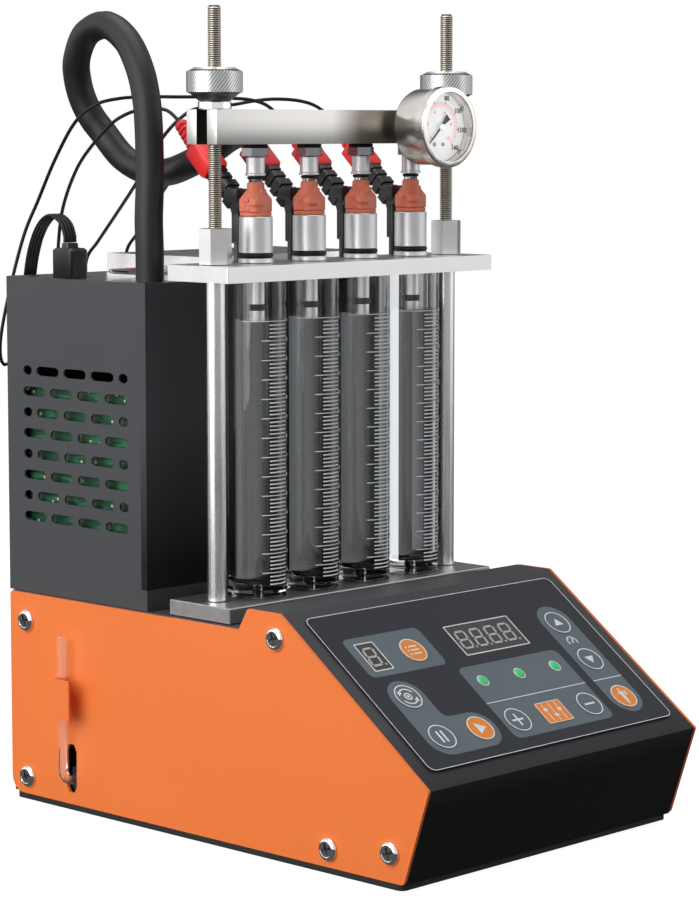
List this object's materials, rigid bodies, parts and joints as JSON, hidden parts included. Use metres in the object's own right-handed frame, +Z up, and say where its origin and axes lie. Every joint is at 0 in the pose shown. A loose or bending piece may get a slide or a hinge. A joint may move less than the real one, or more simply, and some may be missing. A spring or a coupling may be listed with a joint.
{
  "type": "fuel injector cleaner and tester",
  "caption": "Bench tester with graduated tubes, injector rail, pressure gauge and ultrasonic bath in a sloped key-panel cabinet.",
  "frame": {"origin": "centre of the footprint at floor level, cords left out", "axes": "+X to the operator's right, +Y from the key panel to the rear, +Z up"},
  "size_m": [0.2518, 0.3771, 0.4934],
  "materials": {
    "orange_paint": "satin paint",
    "black_sheet": "fine textured paint",
    "panel_print": "printed film",
    "window": "dark tinted window",
    "silver_plate": "fine brushed",
    "stainless": "polished stainless",
    "thread_steel": "plain steel",
    "smoked_tube": "smoked transparent",
    "clear_glass": "clear",
    "clear_plastic": "clear tube",
    "gauge_face": "printed dial",
    "salmon_plastic": "moulded",
    "red_rubber": "moulded boot",
    "black_rubber": "matte",
    "orange_key": "membrane key",
    "grey_key": "membrane key",
    "board_green": "solder mask"
  },
  "bodies": {
    "cabinet": {"base_plate": "black_sheet", "bath_basin": "stainless", "chassis_shell": "black_sheet", "circuit_board": "board_green", "column_left": "thread_steel", "column_right": "thread_steel", "display_window": "window", "drain_clip": "orange_paint", "foot_1": "black_rubber", "foot_2": "black_rubber", "foot_3": "black_rubber", "foot_4": "black_rubber", "hose": "black_rubber", "injector_1": "salmon_plastic", "injector_2": "salmon_plastic", "injector_3": "salmon_plastic", "injector_4": "salmon_plastic", "injector_cup_1": "silver_plate", "injector_cup_2": "silver_plate", "injector_cup_3": "silver_plate", "injector_cup_4": "silver_plate", "lower_plate": "silver_plate", "panel_label": "panel_print", "pulse_cable_1": "black_rubber", "pulse_cable_2": "black_rubber", "pulse_cable_3": "black_rubber", "pulse_cable_4": "black_rubber", "pulse_connector_1": "red_rubber", "pulse_connector_2": "red_rubber", "pulse_connector_3": "red_rubber", "pulse_connector_4": "red_rubber", "pulse_plug": "black_rubber", "rear_housing": "black_sheet", "side_plate_left": "orange_paint", "side_plate_right": "orange_paint", "tube_1": "smoked_tube", "tube_2": "smoked_tube", "tube_3": "smoked_tube", "tube_4": "smoked_tube", "upper_plate": "silver_plate"},
    "rail_carriage": {"rail": "silver_plate", "gauge_case": "stainless", "gauge_dial": "gauge_face", "gauge_glass": "clear_glass"},
    "needle": {"gauge_needle": "black_sheet"},
    "nut_left": {"knurled_nut_left": "stainless"},
    "nut_right": {"knurled_nut_right": "stainless"},
    "lid": {"bath_lid": "stainless"},
    "lid_bail": {"lid_handle": "stainless"},
    "drain": {"drain_tube": "clear_plastic"},
    "key_program_cap": {"key_program": "orange_key"},
    "key_injector_cap": {"key_injector": "orange_key"},
    "key_start_cap": {"key_start": "orange_key"},
    "key_adjust_cap": {"key_adjust": "orange_key"},
    "key_up_cap": {"key_up": "grey_key"},
    "key_down_cap": {"key_down": "grey_key"},
    "key_mode_cap": {"key_mode": "grey_key"},
    "key_pause_cap": {"key_pause": "grey_key"},
    "key_plus_cap": {"key_plus": "grey_key"},
    "key_minus_cap": {"key_minus": "grey_key"}
  },
  "joints": [
    {"name": "left_nut_spin", "type": "hinge", "parent": "rail_carriage", "child": "nut_left", "pos_m": [-0.0946, 0.0081, 0.44], "axis": [0, 0, 1], "range_deg": [0, 8064.5]},
    {"name": "right_nut_spin", "type": "hinge", "parent": "rail_carriage", "child": "nut_right", "pos_m": [0.1064, 0.0081, 0.44], "axis": [0, 0, 1], "range_deg": [0, 8064.5]},
    {"name": "rail_lift", "type": "slide", "parent": "cabinet", "child": "rail_carriage", "axis": [0, 0, 1], "range_m": [0, 0.028], "deforming": ["hose"]},
    {"name": "needle_sweep", "type": "hinge", "parent": "rail_carriage", "child": "needle", "pos_m": [0.0611, -0.0305, 0.4228], "axis": [0, 1, 0], "range_deg": [0, 270]},
    {"name": "lid_hinge", "type": "hinge", "parent": "cabinet", "child": "lid", "pos_m": [0.1134, 0.1265, 0.333], "axis": [0, 1, 0], "range_deg": [0, 100], "deforming": ["pulse_cable_2", "pulse_cable_3", "pulse_cable_4"]},
    {"name": "bail_hinge", "type": "hinge", "parent": "lid", "child": "lid_bail", "pos_m": [-0.0409, 0.1025, 0.3343], "axis": [0, 1, 0], "range_deg": [0, 90]},
    {"name": "drain_swing", "type": "hinge", "parent": "cabinet", "child": "drain", "pos_m": [-0.1091, 0.1195, 0.02], "axis": [1, 0, 0], "range_deg": [0, 90]},
    {"name": "key_program_press", "type": "slide", "parent": "cabinet", "child": "key_program_cap", "axis": [0, 0.5907, -0.8069], "range_m": [0, 0.0004], "stiffness_N_per_m": 200, "springref_m": -0.001},
    {"name": "key_injector_press", "type": "slide", "parent": "cabinet", "child": "key_injector_cap", "axis": [0, 0.5907, -0.8069], "range_m": [0, 0.0004], "stiffness_N_per_m": 200, "springref_m": -0.001},
    {"name": "key_start_press", "type": "slide", "parent": "cabinet", "child": "key_start_cap", "axis": [0, 0.5907, -0.8069], "range_m": [0, 0.0004], "stiffness_N_per_m": 200, "springref_m": -0.001},
    {"name": "key_adjust_press", "type": "slide", "parent": "cabinet", "child": "key_adjust_cap", "axis": [0, 0.5907, -0.8069], "range_m": [0, 0.0004], "stiffness_N_per_m": 200, "springref_m": -0.001},
    {"name": "key_up_press", "type": "slide", "parent": "cabinet", "child": "key_up_cap", "axis": [0, 0.5907, -0.8069], "range_m": [0, 0.0004], "stiffness_N_per_m": 200, "springref_m": -0.001},
    {"name": "key_down_press", "type": "slide", "parent": "cabinet", "child": "key_down_cap", "axis": [0, 0.5907, -0.8069], "range_m": [0, 0.0004], "stiffness_N_per_m": 200, "springref_m": -0.001},
    {"name": "key_mode_press", "type": "slide", "parent": "cabinet", "child": "key_mode_cap", "axis": [0, 0.5907, -0.8069], "range_m": [0, 0.0004], "stiffness_N_per_m": 200, "springref_m": -0.001},
    {"name": "key_pause_press", "type": "slide", "parent": "cabinet", "child": "key_pause_cap", "axis": [0, 0.5907, -0.8069], "range_m": [0, 0.0004], "stiffness_N_per_m": 200, "springref_m": -0.001},
    {"name": "key_plus_press", "type": "slide", "parent": "cabinet", "child": "key_plus_cap", "axis": [0, 0.5907, -0.8069], "range_m": [0, 0.0004], "stiffness_N_per_m": 200, "springref_m": -0.001},
    {"name": "key_minus_press", "type": "slide", "parent": "cabinet", "child": "key_minus_cap", "axis": [0, 0.5907, -0.8069], "range_m": [0, 0.0004], "stiffness_N_per_m": 200, "springref_m": -0.001}
  ],
  "couplings": [
    {"joint": "left_nut_spin", "follows": "rail_lift", "rad_per_m": 5026.5},
    {"joint": "right_nut_spin", "follows": "rail_lift", "rad_per_m": 5026.5}
  ]
}
